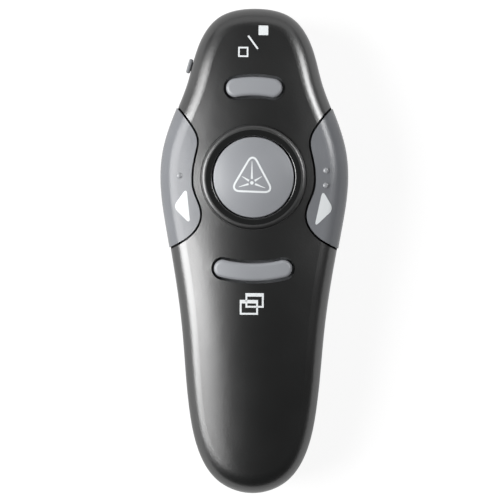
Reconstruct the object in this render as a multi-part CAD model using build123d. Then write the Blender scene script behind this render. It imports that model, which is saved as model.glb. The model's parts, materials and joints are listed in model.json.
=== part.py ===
from build123d import *
from functools import lru_cache
from math import asin, atan2, degrees, sqrt
import os

# Wireless presentation clicker, in millimetres.
# +X is the user's right, +Y points to the nose that the laser leaves from, +Z is up from the table.
# The origin lies on the table under the middle of the body.

# ------------------------------------------------------------------ body
body_length = 105.0
body_width = 40.2
crown_top = 23.9
parting_z = 11.0
wall = 1.8
side_lean = 1.8
shoulder_radius = 5.0
belly_radius = 7.0
nose_y = body_length / 2
tail_y = -body_length / 2
sky_z = crown_top + 6.0

# Side line of the body: (narrower than the widest place, distance behind the nose).
head_side = (
    (15.9, 0.45),
    (12.6, 1.7),
    (8.9, 5.6),
    (6.9, 11.5),
    (4.55, 19.0),
    (1.3, 27.5),
    (0.0, 36.5),
    (0.8, 44.5),
)
# The same on the tail: (narrower than the widest place, distance ahead of the tail).
tail_side = (
    (3.05, 47.5),
    (4.8, 34.5),
    (6.05, 20.5),
    (7.95, 10.5),
    (11.2, 4.0),
)
side_samples = 15

# Crown: (distance from the nose or tail, below the crown's top, radius across the body).
head_crown = ((-7.5, 7.9, 60.0), (16.5, 1.4, 60.0), (36.5, 0.0, 55.0))
tail_crown = ((47.5, 0.3, 45.0), (22.5, 3.4, 32.0), (-7.5, 8.9, 26.0))
crown_half_span = 24.0
crown_samples = 4

# Belly: flat in the middle, rising to the nose and the tail.
belly_nose_run = 20.5
belly_tail_run = 16.5
belly_nose_rise = 3.4
belly_tail_rise = 2.8
belly_overrun = 4.0

# ------------------------------------------------------------------ seam between the shells
seam_depth = 0.35
seam_height = 0.22
lip_height = 1.0
lip_outer_inset = 0.95
lip_inner_inset = wall - 0.1
lip_clearance = 0.12

# ------------------------------------------------------------------ controls
laser_y = nose_y - 36.5
laser_button_radius = 8.7
control_gap = 0.34
bar_gap = 0.58
ring_bore_radius = laser_button_radius + control_gap
ring_land = 1.44
ring_foot = 0.85
ring_top_z = crown_top + 0.15
ring_foot_z = crown_top - wall - 0.5
ring_groove = 0.22
dome_height = 1.3
dome_sink = 0.2
press_travel = 0.4
flange_reach = 1.0
flange_thickness = 0.8
flange_clearance = 0.15
collar_wall = 1.1
cap_skin = 1.4
cap_edge = 0.75
presser_radius = 1.6

blank_reach = 19.7
blank_width = 12.15
blank_depth = 4.1
blank_arc_radius = 21.5
show_reach = 20.5
show_width = 16.9
show_depth = 3.85
show_arc_radius = 28.0
cap_proud = 0.8

key_land = 2.15
key_gap = 0.46
key_proud = 0.25
key_skin = 1.2
# Inner edge of a side key, from the laser button's middle: (beyond the land, towards the nose).
key_edge = (
    (6.0, 17.5),
    (3.15, 14.7),
    (0.5, 11.4),
    (-1.1, 8.1),
    (-0.6, 4.5),
    (0.0, 0.0),
    (-0.25, -2.7),
    (-1.95, -8.3),
    (-0.7, -11.5),
    (2.3, -14.0),
    (6.0, -15.95),
)
key_samples = 22
dot_radius = 0.75
dot_tip_radius = 0.3
dot_height = 0.32
dot_root = 0.4

# ------------------------------------------------------------------ batteries, tray and door
cell_diameter = 10.5
cell_length = 44.5
cell_nub_diameter = 3.8
cell_nub_height = 0.8
cell_room = 0.3
contact_thickness = 0.4
spring_length = 4.2
leaf_thickness = 0.3
leaf_width = 4.4
leaf_bend = 0.7
leaf_overreach = 0.12

door_thickness = 1.6
door_gap = 0.15
door_edge_z = 4.5
door_front_bow = 3.0
deck_thickness = 1.9
tray_wall = 1.2
bay_tail_run = 12.0
hook_length = 8.0
hook_wall = 1.0
hook_gap = 0.3
hook_tongue = 0.7
groove_depth = 0.6
grip_count = 5
grip_pitch = 1.7
grip_length = 12.0
grip_width = 0.8
grip_depth = 0.4

cell_axis_z = door_thickness + 0.35 + cell_diameter / 2
cell_x = cell_diameter / 2 + 0.1
bay_half = cell_x + cell_diameter / 2 + cell_room
bay_roof_z = cell_axis_z + cell_diameter / 2 + cell_room
bay_tail_y = tail_y + bay_tail_run
bay_front_y = bay_tail_y + cell_length + spring_length + 2 * contact_thickness
tray_half = bay_half + tray_wall
tray_top_z = bay_roof_z + tray_wall
deck_z = door_edge_z + 0.1
deck_top_z = deck_z + deck_thickness

# ------------------------------------------------------------------ stowed USB receiver
receiver_length = 19.0
receiver_width = 14.4
receiver_height = 6.1
receiver_grip_length = 7.1
usb_width = 12.0
usb_height = 4.5
usb_sheet = 0.3
receiver_room = 0.1
receiver_z = door_thickness + 0.55 + receiver_height / 2
pocket_half = receiver_length / 2 + 0.4
pocket_tail_y = bay_front_y + tray_wall + 0.1
pocket_front_y = pocket_tail_y + receiver_width + 2 * receiver_room
pocket_roof_z = receiver_z + receiver_height / 2 + 0.3
tray_front_y = pocket_front_y + tray_wall
receiver_y = (pocket_tail_y + pocket_front_y) / 2

# ------------------------------------------------------------------ laser in the nose
laser_z = parting_z
aperture_diameter = 4.4
window_diameter = 5.6
window_thickness = 1.0
window_setback = 1.4
barrel_diameter = 6.5
barrel_length = 11.8
barrel_clearance = 0.1
lens_diameter = 4.9
lens_thickness = 1.3
driver_width = 5.6
driver_length = 5.0
driver_thickness = 0.8
lead_diameter = 0.8
window_front_y = nose_y - window_setback
barrel_front_y = window_front_y - window_thickness - 0.3
barrel_rear_y = barrel_front_y - barrel_length

# ------------------------------------------------------------------ fasteners
case_shank = 1.9
case_head = 3.8
case_head_height = 1.3
boss_radius = 2.2
boss_foot_radius = 3.1
boss_x = 7.2
boss_y = nose_y - 8.0
boss_join_z = parting_z + 2.0
head_seat_z = 5.0
head_screw_length = 11.5
tail_boss_y = tail_y + 6.0
tail_screw_length = 10.0
board_shank = 1.6
board_head = 3.0
board_head_height = 1.0
board_screw_length = 5.0
post_radius = 2.0

# ------------------------------------------------------------------ circuit board and switches
board_thickness = 1.2
board_inset = 3.2
board_z = max(tray_top_z + 0.45, laser_z + barrel_diameter / 2 + 0.15)
board_top_z = board_z + board_thickness
board_front_y = boss_y - boss_radius - 0.3
switch_side = 6.0
switch_base_height = 1.6
switch_cover = 0.3
switch_height = 2.5
stem_radius = 1.7
stem_gap = 0.1
stem_depth = 1.2
side_switch_x = 13.3
stem_top_z = board_top_z + switch_height

# Power slide on the left of the head.
power_y = nose_y - 12.7
power_travel = 2.0
knob_length = 3.15
knob_height = 3.0
knob_proud = 1.1
knob_lift = 0.25
knob_edge = 0.35
knob_line_pitch = 0.75
knob_line_width = 0.24
knob_line_depth = 0.15
knob_line_length = 1.7
neck_length = 2.0
neck_height = 1.4
knob_plate = 0.8
slide_body_length = 6.4
slide_body_width = 2.7
slide_body_height = 1.4
slide_body_inset = 3.6
lever_width = 1.3
lever_height = 0.8


# ================================================================== helpers
def prism(plan, z_low, z_high):
    """Straight body over a plan outline, between two levels."""
    return extrude(Pos(0, 0, z_low) * plan, z_high - z_low, dir=(0, 0, 1))


def block(x_range, y_range, z_range):
    """Box given by its limits along the three axes."""
    low = Vector(x_range[0], y_range[0], z_range[0])
    high = Vector(x_range[1], y_range[1], z_range[1])
    size = high - low
    return Pos(*((low + high) / 2)) * Box(size.X, size.Y, size.Z)


def post(x, y, radius, z_low, z_high):
    """Upright cylinder."""
    return prism(Pos(x, y) * Circle(radius), z_low, z_high)


def rod(x, z, radius, y_low, y_high):
    """Cylinder lying along the body."""
    start = Plane(origin=(x, y_low, z), x_dir=(1, 0, 0), z_dir=(0, 1, 0))
    return extrude(start * Circle(radius), y_high - y_low)


def both_sides(shape):
    """A shape and its mirror image on the other side of the body."""
    return [shape, mirror(shape, about=Plane.YZ)]


def union(shapes):
    """One body out of several that touch or overlap."""
    total = shapes[0]
    for shape in shapes[1:]:
        total += shape
    return total


def shifted(curve, distance, samples):
    """Points along a plan curve, moved square to it, to its right if the distance is positive."""
    points = []
    for step in range(samples + 1):
        along = curve.tangent_at(step / samples)
        points.append(curve.position_at(step / samples) + Vector(along.Y, -along.X) * distance)
    return points


# ================================================================== master form
half_width = body_width / 2
side_points = [(half_width - inset, nose_y - run) for inset, run in head_side]
side_points += [(half_width - inset, tail_y + run) for inset, run in tail_side]


def side_curve(points):
    """Right side of the body from the nose to the tail, square to the centre line at both ends."""
    return Spline(*points, tangents=[(1, 0), (-1, 0)], tangent_scalars=[1, 1])


side_line = side_curve([(0, nose_y), *side_points, (0, tail_y)])


@lru_cache
def outline(inset):
    """Plan of the body at the parting line, moved in by inset."""
    right = side_curve(shifted(side_line, inset, side_samples))
    return make_face([right, mirror(right, about=Plane.YZ)])


@lru_cache
def above_crown(inset):
    """Everything over the crown, with the crown moved down by inset."""
    stations = [(nose_y - run, drop, radius) for run, drop, radius in head_crown]
    stations += [(tail_y + run, drop, radius) for run, drop, radius in tail_crown]
    rows = []
    for y, drop, radius in stations:
        row = []
        for step in range(-crown_samples, crown_samples + 1):
            x = crown_half_span * step / crown_samples
            sag = radius - sqrt(radius**2 - x**2)
            row.append(Vector(x, y, crown_top - drop - inset - sag))
        rows.append(row)
    return extrude(Face.make_surface_from_array_of_points(rows), crown_top, dir=(0, 0, 1))


@lru_cache
def below_belly(inset):
    """Everything under the belly, with the belly moved up by inset."""
    flat_front = (nose_y - belly_nose_run, inset)
    flat_rear = (tail_y + belly_tail_run, inset)
    front = (nose_y + belly_overrun, inset + belly_nose_rise)
    rear = (tail_y - belly_overrun, inset + belly_tail_rise)
    profile = [
        Line(flat_rear, flat_front),
        Spline(flat_front, front, tangents=[(1, 0), (0.94, 0.34)]),
        Line(front, (front[0], -belly_radius)),
        Line((front[0], -belly_radius), (rear[0], -belly_radius)),
        Line((rear[0], -belly_radius), rear),
        Spline(rear, flat_rear, tangents=[(0.94, -0.34), (1, 0)]),
    ]
    side = Plane(origin=(-body_width, 0, 0), x_dir=(0, 1, 0), z_dir=(1, 0, 0))
    return extrude(side * make_face(profile), 2 * body_width)


@lru_cache
def form(inset):
    """The rounded body, moved in everywhere by inset."""
    levels = ((-1.0, side_lean), (parting_z, 0.0), (crown_top + 3.0, side_lean))
    walls = loft([Pos(0, 0, z) * outline(inset + lean) for z, lean in levels])
    rough = walls - above_crown(inset) - below_belly(inset)
    shoulder = [e for e in rough.edges() if e.length > body_length / 2 and e.center().Z > parting_z]
    rounded = fillet(shoulder, shoulder_radius - inset)
    keel = [
        e
        for e in rounded.edges()
        if e.position_at(0.5).Z < parting_z / 2 and e.geom_type != GeomType.LINE
    ]
    return fillet(keel, belly_radius - inset)


def spine_z(y):
    """Height of the crown's middle line at a place along the body."""
    middle = Edge.make_line((0, y, parting_z), (0, y, sky_z))
    cut = middle.intersect(above_crown(0.0))
    return min(v.Z for v in cut.vertices())


# ================================================================== control outlines
def kidney(y, width, depth, arc_radius, arc_side, grow):
    """Curved bar with round ends across the body, hollow towards the laser button."""
    half_angle = degrees(asin((width - depth) / 2 / arc_radius))
    middle = Pos(0, y - arc_side * arc_radius)
    start = 90 * arc_side - half_angle
    return middle * SlotArc(CenterArc((0, 0), arc_radius, start, 2 * half_angle), depth + 2 * grow)


blank_y = laser_y + blank_reach
show_y = laser_y - show_reach
ring_top_radius = ring_bore_radius + ring_land
ring_foot_radius = ring_top_radius + ring_foot
key_reach = ring_foot_radius + key_land
key_line = Spline(*((key_reach + beyond, laser_y + ahead) for beyond, ahead in key_edge))


def laser_area(grow):
    """Plan of the laser button's bore."""
    return Pos(0, laser_y) * Circle(ring_bore_radius + grow)


def blank_area(grow):
    """Plan of the blank-screen button."""
    return kidney(blank_y, blank_width, blank_depth, blank_arc_radius, 1, grow)


def show_area(grow):
    """Plan of the slideshow button."""
    return kidney(show_y, show_width, show_depth, show_arc_radius, -1, grow)


@lru_cache
def next_area(grow):
    """Plan of the right key: its curved inner edge, closed well outside the body."""
    inner = Spline(*shifted(key_line, grow, key_samples))
    front, rear = inner @ 0, inner @ 1
    outside = Polyline(rear, (body_width, rear.Y), (body_width, front.Y), front)
    return make_face([inner, *outside.edges()])


def previous_area(grow):
    """Plan of the left key."""
    return mirror(next_area(grow), about=Plane.YZ)


laser_seat_z = ring_top_z - wall - 0.95
blank_seat_z = spine_z(blank_y) - wall - 0.75
show_seat_z = spine_z(show_y) - wall - 1.4
key_seat_z = laser_seat_z - 1.35
key_foot_z = parting_z + press_travel + 0.2

# ================================================================== places of the inner parts
front_post = (10.6, tray_front_y + 3.5)
rear_post = (tray_half - 0.2, show_y - 1.5)
head_bosses = ((-boss_x, boss_y), (boss_x, boss_y))
cradle_ys = (barrel_rear_y + 2.6, barrel_front_y - 2.8)
cradle_half = barrel_diameter / 2 + 1.5
cradle_wall = 1.2
board_tail_y = show_y - 7.5
button_switches = ((0, laser_y), (0, blank_y), (0, show_y))
side_switches = ((-side_switch_x, laser_y), (side_switch_x, laser_y))


def side_place(y):
    """Where the parting outline passes a distance along the body, and its heading to the tail."""
    low, high = 0.0, 1.0
    while high - low > 1e-6:
        middle = (low + high) / 2
        if side_line.position_at(middle).Y > y:
            low = middle
        else:
            high = middle
    return side_line.position_at(low), side_line.tangent_at(low)


power_place, power_heading = side_place(power_y)
# Local frame of the power slide: x to the nose, y down, z out of the left side.
power_plane = Plane(
    origin=(-power_place.X, power_y, 0),
    x_dir=(power_heading.X, -power_heading.Y, 0),
    z_dir=(power_heading.Y, power_heading.X, 0),
)
power_z = board_z - 1.3


def power_block(along, levels, depth):
    """Box in the power slide's frame: along the wall, between levels, and inwards from the wall."""
    box = block(along, (-levels[1], -levels[0]), (-depth[1], -depth[0]))
    return power_plane * box


# ================================================================== case
def controls():
    """Each control's plan, the gap round it, and the level its flange stops at under the shell."""
    return (
        (laser_area, 0.0, laser_seat_z),
        (blank_area, bar_gap, blank_seat_z),
        (show_area, bar_gap, show_seat_z),
        (next_area, key_gap, key_seat_z),
        (previous_area, key_gap, key_seat_z),
    )


def make_upper_shell():
    """Top half of the case with the button ring, the control openings and the screw bosses."""
    top = block((-body_width, body_width), (tail_y - 9, nose_y + 9), (parting_z, sky_z))
    cavity = form(wall) & top
    for area, gap, seat in controls():
        cavity -= prism(area(gap + collar_wall) - area(gap), seat, crown_top)
    for x, y in (*head_bosses, (0, tail_boss_y)):
        cavity -= post(x, y, boss_radius, boss_join_z, crown_top)
    clamp_y = cradle_ys[1]
    cavity -= block(
        (-cradle_half, cradle_half),
        (clamp_y - cradle_wall / 2, clamp_y + cradle_wall / 2),
        (parting_z, crown_top),
    )
    shell = (form(0.0) & top) - cavity - post(0, laser_y, ring_foot_radius, ring_foot_z, sky_z)
    shell += make_button_ring()

    for area, gap, seat in controls():
        floor = parting_z if seat == key_seat_z else seat - 1
        shell -= prism(area(gap), floor, sky_z)
    groove = Pos(0, laser_y) * (Circle(ring_foot_radius + ring_groove) - Circle(ring_foot_radius))
    shell -= prism(groove, parting_z + 4, sky_z) & above_crown(ring_groove)

    lip_room = outline(lip_outer_inset - lip_clearance)
    shell -= prism(lip_room, parting_z, parting_z + lip_height + lip_clearance)
    shell -= prism(outline(-1.0) - outline(seam_depth), parting_z, parting_z + seam_height)
    shell -= make_barrel_room()
    shell -= make_nose_bore()
    for x, y in (*head_bosses, (0, tail_boss_y)):
        pilot_top = (head_seat_z + head_screw_length if x else deck_z + tail_screw_length) + 0.5
        shell -= post(x, y, case_shank / 2 + 0.03, boss_join_z - 1, pilot_top)
    slot_half = neck_length / 2 + 0.15
    slot_levels = (power_z - neck_height / 2 - 0.12, power_z + neck_height / 2 + 0.12)
    shell -= power_block((-slot_half - power_travel, slot_half), slot_levels, (-1, wall + 1))
    return shell


def make_button_ring():
    """Raised ring round the laser button, flat on top and rounded down to the shell."""
    half = Pos(ring_bore_radius, ring_foot_z) * Rectangle(
        ring_foot_radius - ring_bore_radius, ring_top_z - ring_foot_z, align=(Align.MIN, Align.MIN)
    )
    outer = half.vertices().sort_by(Axis.Y)[-2:].sort_by(Axis.X)[-1]
    inner = half.vertices().sort_by(Axis.Y)[-2:].sort_by(Axis.X)[0]
    half = fillet(outer, ring_foot)
    half = fillet(half.vertices().sort_by(lambda v: (v.X - inner.X) ** 2 + (v.Y - inner.Y) ** 2)[0], 0.2)
    profile = Plane(origin=(0, laser_y, 0), x_dir=(1, 0, 0), z_dir=(0, -1, 0)) * half
    return revolve(profile, Axis((0, laser_y, 0), (0, 0, 1)))


def make_nose_bore():
    """Way out for the beam through the nose, with the seat of the clear window behind it."""
    bore = rod(0, laser_z, aperture_diameter / 2, barrel_front_y, nose_y + 2)
    seat = rod(0, laser_z, window_diameter / 2 + 0.1, barrel_front_y, window_front_y + 0.03)
    return bore + seat


def make_barrel_room():
    """Round seat of the laser barrel through the cradles of both shells."""
    rear = cradle_ys[0] - cradle_wall
    front = cradle_ys[1] + cradle_wall
    return rod(0, laser_z, barrel_diameter / 2 + barrel_clearance, rear, front)


def lower_keeps():
    """Solid volumes that stand inside the lower shell: tray, deck, posts, bosses and cradles."""
    wide = 2 * body_width
    tray = block((-tray_half, tray_half), (bay_tail_y - tray_wall, tray_front_y), (-1, tray_top_z))
    deck = block((-wide, wide), (tail_y - 9, tray_front_y), (-1, deck_top_z))
    keeps = [tray, deck]
    for x, y in head_bosses:
        keeps.append(post(x, y, boss_foot_radius, -1, head_seat_z + 1.3))
        keeps.append(post(x, y, boss_radius, -1, boss_join_z))
    keeps.append(post(0, tail_boss_y, boss_radius, -1, boss_join_z))
    for x, y in (front_post, rear_post):
        keeps.extend(both_sides(post(x, y, post_radius, -1, board_z)))
    for y in cradle_ys:
        span = (y - cradle_wall / 2, y + cradle_wall / 2)
        keeps.append(block((-cradle_half, cradle_half), span, (-1, parting_z)))
    return keeps


def door_plan(gap):
    """Area that the battery door covers, with its bowed front edge drawn back by gap."""
    front = tray_front_y - gap
    side_front = front - door_front_bow
    edge = ThreePointArc((-half_width - 2, side_front), (0, front), (half_width + 2, side_front))
    rear = Polyline(edge @ 1, (half_width + 2, tail_y - 9), (-half_width - 2, tail_y - 9), edge @ 0)
    return make_face([edge, *rear.edges()])


def make_lower_shell():
    """Bottom half of the case with the battery tray, the receiver pocket and the laser cradles."""
    low = block((-body_width, body_width), (tail_y - 9, nose_y + 9), (-1, parting_z))
    cavity = form(wall) & low
    keeps = lower_keeps()
    for keep in keeps:
        cavity -= keep
    shell = (form(0.0) & low) - cavity

    inside = prism(outline(wall + 0.3), parting_z, crown_top)
    for keep in keeps:
        if keep.bounding_box().max.Z > parting_z + 0.01:
            shell += keep & inside
    lip = prism(outline(lip_outer_inset) - outline(lip_inner_inset), parting_z, parting_z + lip_height)
    for zone in both_sides(next_area(key_gap + 0.4)):
        lip -= prism(zone, parting_z - 1, crown_top)
    shell += lip

    core_plan = Pos(0, (bay_tail_y - tray_wall + tray_front_y) / 2) * Rectangle(
        2 * tray_half, tray_front_y - bay_tail_y + tray_wall
    )
    core = prism(core_plan, -2, deck_z) & form(door_thickness + door_gap)
    shell -= prism(door_plan(0.0), -2, deck_z) - core

    shell -= block((-bay_half, bay_half), (bay_tail_y, bay_front_y), (-2, bay_roof_z))
    shell -= block((-pocket_half, pocket_half), (pocket_tail_y, pocket_front_y), (-2, pocket_roof_z))
    groove_levels = (door_edge_z - 1.2, door_edge_z - 0.2)
    for groove in both_sides(
        block(
            (tray_half - groove_depth, tray_half + 1),
            (tail_y - 1, hook_ys()[-1] + hook_length / 2 + 0.4),
            groove_levels,
        )
    ):
        shell -= groove
    for tab_x in (-cell_x, cell_x):
        shell -= block(
            (tab_x - 1.3, tab_x + 1.3),
            (bay_front_y - contact_thickness - 0.1, bay_front_y + 0.1),
            (bay_roof_z - 1, tray_top_z + 1),
        )

    shell -= make_barrel_room()
    shell -= make_nose_bore()
    for x, y in head_bosses:
        shell -= post(x, y, case_head / 2 + 0.3, -1, head_seat_z)
        shell -= post(x, y, case_shank / 2 + 0.15, 0, boss_join_z + 1)
    shell -= post(0, tail_boss_y, case_shank / 2 + 0.15, 0, boss_join_z + 1)
    for x, y in (front_post, rear_post):
        pilot = post(x, y, board_shank / 2 + 0.03, board_z - board_screw_length, board_z + 1)
        for hole in both_sides(pilot):
            shell -= hole
    return shell


def hook_ys():
    """Middles of the door hooks along the body."""
    first = bay_front_y - 13.0
    return (first, first + 17.0)


def make_battery_door():
    """Boat-shaped cover of the tail's underside, hooked under the tray and slid off backwards."""
    slab = form(0.0) & prism(door_plan(door_gap), -1, door_edge_z)
    door = slab - form(door_thickness)
    hook_x = tray_half + hook_gap
    for y in hook_ys():
        span = (y - hook_length / 2, y + hook_length / 2)
        rib = block((hook_x, hook_x + hook_wall), span, (0, door_edge_z - 0.15))
        tongue = block((hook_x - hook_tongue, hook_x + 0.1), span, (door_edge_z - 1.05, door_edge_z - 0.35))
        for hook in both_sides((rib & form(door_thickness / 2)) + tongue):
            door += hook
    grip_front = pocket_front_y - 1.0
    for line in range(grip_count):
        y = grip_front - line * grip_pitch
        door -= prism(Pos(0, y) * SlotOverall(grip_length, grip_width), -1, grip_depth)
    return door


# ================================================================== controls
def make_laser_button():
    """Round thumb button with a low dome, a stop flange and a presser over its switch."""
    flange_top = laser_seat_z - flange_clearance
    foot = flange_top - flange_thickness
    edge_z = ring_top_z - dome_sink
    radius = laser_button_radius
    dome_radius = (radius**2 + dome_height**2) / (2 * dome_height)
    cap = post(0, laser_y, radius, foot, crown_top + 3)
    cap &= Pos(0, laser_y, edge_z + dome_height - dome_radius) * Sphere(dome_radius)
    rim = [e for e in cap.edges() if e.length > 6 * radius and e.center().Z > flange_top]
    cap = fillet(rim, 0.25)
    cap += post(0, laser_y, ring_bore_radius + flange_reach - 0.1, foot, flange_top)
    hollow = post(0, laser_y, radius - key_skin, foot - 1, edge_z - cap_skin)
    ribs = block((-radius, radius), (laser_y - 0.5, laser_y + 0.5), (foot, edge_z))
    ribs += block((-0.5, 0.5), (laser_y - radius, laser_y + radius), (foot, edge_z))
    hollow -= ribs
    return cap - hollow + post(0, laser_y, presser_radius, stem_top_z, edge_z - cap_skin)


def make_bar_button(area, y, seat_z):
    """Curved bar button that follows the crown, with its flange and presser."""
    flange_top = seat_z - flange_clearance
    foot = flange_top - flange_thickness
    cap = prism(area(0.0), foot, sky_z) - above_crown(-cap_proud)
    rim = [e for e in cap.edges() if e.center().Z > flange_top + 0.5 and e.geom_type != GeomType.LINE]
    cap = fillet(rim, cap_edge)
    cap += prism(area(flange_reach), foot, flange_top)
    return cap + post(0, y, presser_radius, stem_top_z, foot + 0.3)


def make_side_key():
    """Right key: part of the body's skin from the crown down to the parting line."""
    skin = form(-key_proud) & prism(next_area(0.0), key_foot_z, sky_z)
    top = key_seat_z - flange_clearance
    foot = top - flange_thickness
    scoop = form(wall) & prism(next_area(1.0), parting_z - 1, crown_top)
    scoop -= prism(next_area(0.0) - next_area(-key_skin), foot, crown_top)
    key = skin - scoop
    key += prism(next_area(flange_reach) - next_area(-key_skin), foot, top) & form(wall + 0.2)
    arm = block((side_switch_x - 1.9, key_reach + 2.0), (laser_y - 3.2, laser_y + 3.2), (foot, top))
    key += arm
    key += post(side_switch_x, laser_y, presser_radius, stem_top_z, foot + 0.2)
    return key


def key_dot(x, y):
    """Small raised dot on a key, for finding it by touch."""
    foot_z = skin_z(x, y)
    seat = (Align.CENTER, Align.CENTER, Align.MIN)
    return Pos(x, y, foot_z - dot_root) * Cone(dot_radius, dot_tip_radius, dot_height + dot_root, align=seat)


def skin_z(x, y):
    """Height of the keys' outer skin over a place in plan."""
    probe = Edge.make_line((x, y, parting_z), (x, y, sky_z))
    inside = probe.intersect(form(-key_proud))
    return max(v.Z for v in inside.vertices())


# ================================================================== switches and board
def make_switch(x, y):
    """Square push switch: moulded base, metal cover and stem, standing on the board."""
    base_top = board_top_z + switch_base_height
    cover_top = base_top + switch_cover
    body = block(
        (x - switch_side / 2, x + switch_side / 2),
        (y - switch_side / 2, y + switch_side / 2),
        (board_top_z, base_top),
    )
    body = chamfer(body.edges().filter_by(Axis.Z), 0.5)
    base = body - post(x, y, stem_radius + stem_gap + 0.3, board_top_z + 0.2, base_top + 1)
    cover_plan = Pos(x, y) * RectangleRounded(switch_side - 0.4, switch_side - 0.4, 0.6)
    stem_hole = post(x, y, stem_radius + stem_gap, base_top - 1, cover_top + 1)
    cover = prism(cover_plan, base_top, cover_top) - stem_hole
    stem = post(x, y, stem_radius, stem_top_z - switch_height + stem_depth - 0.4, stem_top_z)
    return base, cover, stem


def make_board():
    """Main circuit board under the controls, cut to the inside of the case."""
    plan = outline(board_inset) & (
        Pos(0, (board_tail_y + board_front_y) / 2) * Rectangle(body_width, board_front_y - board_tail_y)
    )
    corners = [v for v in plan.vertices() if abs(v.X) > 1]
    board = prism(fillet(corners, 1.2), board_z, board_top_z)
    for x, y in (front_post, rear_post):
        for hole in both_sides(post(x, y, board_shank / 2 + 0.15, board_z - 1, board_top_z + 1)):
            board -= hole
    return board


def make_passives():
    """Small resistors and capacitors round the radio chip and behind the board's front."""
    places = [(-6.5, laser_y - 8.2 - 1.6 * step) for step in range(4)]
    places += [(6.2 + 1.8 * step, laser_y + 9.5) for step in range(3)]
    places += [(-6.2 - 1.8 * step, laser_y + 9.5) for step in range(3)]
    levels = (board_top_z, board_top_z + 0.4)
    return [block((x - 0.5, x + 0.5), (y - 0.25, y + 0.25), levels) for x, y in places]


def make_antenna():
    """Folded copper track of the radio antenna at the tail end of the board."""
    count, pitch, depth, width = 7, 1.5, 2.2, 0.4
    left = -(count - 1) * pitch / 2
    near = board_tail_y + 0.8
    bars = []
    for step in range(count):
        x = left + step * pitch
        bars.append(block((x, x + width), (near, near + depth), (board_top_z, board_top_z + 0.1)))
        if step < count - 1:
            y = near if step % 2 else near + depth - width
            bars.append(block((x, x + pitch + width), (y, y + width), (board_top_z, board_top_z + 0.1)))
    return union(bars)


# ================================================================== fasteners
def make_screw(x, y, seat_z, shank, head, head_height, length, up):
    """Pan-head screw with a cross recess, driven up or down from its seat."""
    way = 1 if up else -1
    low, high = sorted((seat_z, seat_z - way * head_height))
    tip_low, tip_high = sorted((seat_z, seat_z + way * length))
    body = post(x, y, head / 2, low, high) + post(x, y, shank / 2, tip_low, tip_high)
    face_z = seat_z - way * head_height
    cut = (face_z - 0.6, face_z + 0.6)
    arm, half = head * 0.3, head * 0.06
    body -= block((x - arm, x + arm), (y - half, y + half), cut)
    return body - block((x - half, x + half), (y - arm, y + arm), cut)


def make_case_screws():
    """Three screws that hold the shells together, two in the nose and one under the door."""
    screws = [
        make_screw(x, y, head_seat_z, case_shank, case_head, case_head_height, head_screw_length, True)
        for x, y in head_bosses
    ]
    screws.append(
        make_screw(0, tail_boss_y, deck_z, case_shank, case_head, case_head_height, tail_screw_length, True)
    )
    return screws


def make_board_screws():
    """Four short screws that hold the circuit board on its posts."""
    screws = []
    for x, y in (front_post, rear_post):
        screw = make_screw(
            x, y, board_top_z, board_shank, board_head, board_head_height, board_screw_length, False
        )
        screws.extend(both_sides(screw))
    return screws


# ================================================================== batteries
def cell_span(x):
    """Both ends of a cell and the way that its plus end points."""
    if x < 0:
        front = bay_front_y - contact_thickness
        return front - cell_length, front, 1
    rear = bay_tail_y + contact_thickness
    return rear, rear + cell_length, -1


def make_cell(x):
    """AAA cell: sleeve, plus nub and minus disc."""
    rear, front, way = cell_span(x)
    skin_rear = rear + (0.3 if way > 0 else cell_nub_height)
    skin_front = front - (cell_nub_height if way > 0 else 0.3)
    sleeve = rod(x, cell_axis_z, cell_diameter / 2, skin_rear, skin_front)
    ends = sleeve.edges().filter_by(GeomType.CIRCLE)
    sleeve = chamfer(ends, 0.4)
    nub = (skin_front, front) if way > 0 else (rear, skin_rear)
    disc = (rear, skin_rear) if way > 0 else (skin_front, front)
    return sleeve, rod(x, cell_axis_z, cell_nub_diameter / 2, *nub), rod(x, cell_axis_z, 3.2, *disc)


def make_spring(x):
    """Leaf spring folded back from the top of its plate to the minus end of a cell."""
    way = 1 if x < 0 else -1
    plate_y = bay_tail_y + contact_thickness if way > 0 else bay_front_y - contact_thickness
    foot = leaf_thickness / 2
    tip = spring_length - foot + leaf_overreach
    run = ((foot, -3.4), (foot, 3.4), (tip, -0.6), (tip - 1.6, -3.0))
    path = FilletPolyline(*((x, plate_y + way * out, cell_axis_z + up) for out, up in run), radius=leaf_bend)
    start = Plane(origin=path @ 0, x_dir=(1, 0, 0), z_dir=path % 0)
    return sweep(start * Rectangle(leaf_width, leaf_thickness), path=path)


def contact_plate(x, half):
    """Front contact plate with its tail through the tray's roof to the board."""
    span = (bay_front_y - contact_thickness, bay_front_y)
    plate = block((x - half, x + half), span, (cell_axis_z - 3.9, cell_axis_z + 3.9))
    return plate + block((x - 1, x + 1), span, (cell_axis_z, board_z))


def make_bridge():
    """Rear plate that joins both cells in series."""
    span = (bay_tail_y, bay_tail_y + contact_thickness)
    half = cell_x + 3.9
    return block((-half, half), span, (cell_axis_z - 3.4, cell_axis_z + 3.9))


# ================================================================== laser and receiver
def make_barrel():
    """Brass laser housing with the lens bore and the exit hole."""
    radius = barrel_diameter / 2
    barrel = rod(0, laser_z, radius, barrel_rear_y, barrel_front_y)
    barrel = chamfer(barrel.edges().filter_by(GeomType.CIRCLE), 0.25)
    lens_front = barrel_front_y - 0.6
    barrel -= rod(0, laser_z, lens_diameter / 2 + 0.03, lens_front - 2.8, lens_front)
    return barrel - rod(0, laser_z, lens_diameter / 2 - 0.6, lens_front - 1, barrel_front_y + 1)


def make_lens():
    """Small collimating lens, flat behind and domed in front."""
    front = barrel_front_y - 0.6
    radius = lens_diameter / 2
    flat = rod(0, laser_z, radius, front - lens_thickness, front - 0.02)
    ball_radius = 4.5
    return flat & (Pos(0, front - 0.02 - ball_radius, laser_z) * Sphere(ball_radius))


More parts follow.
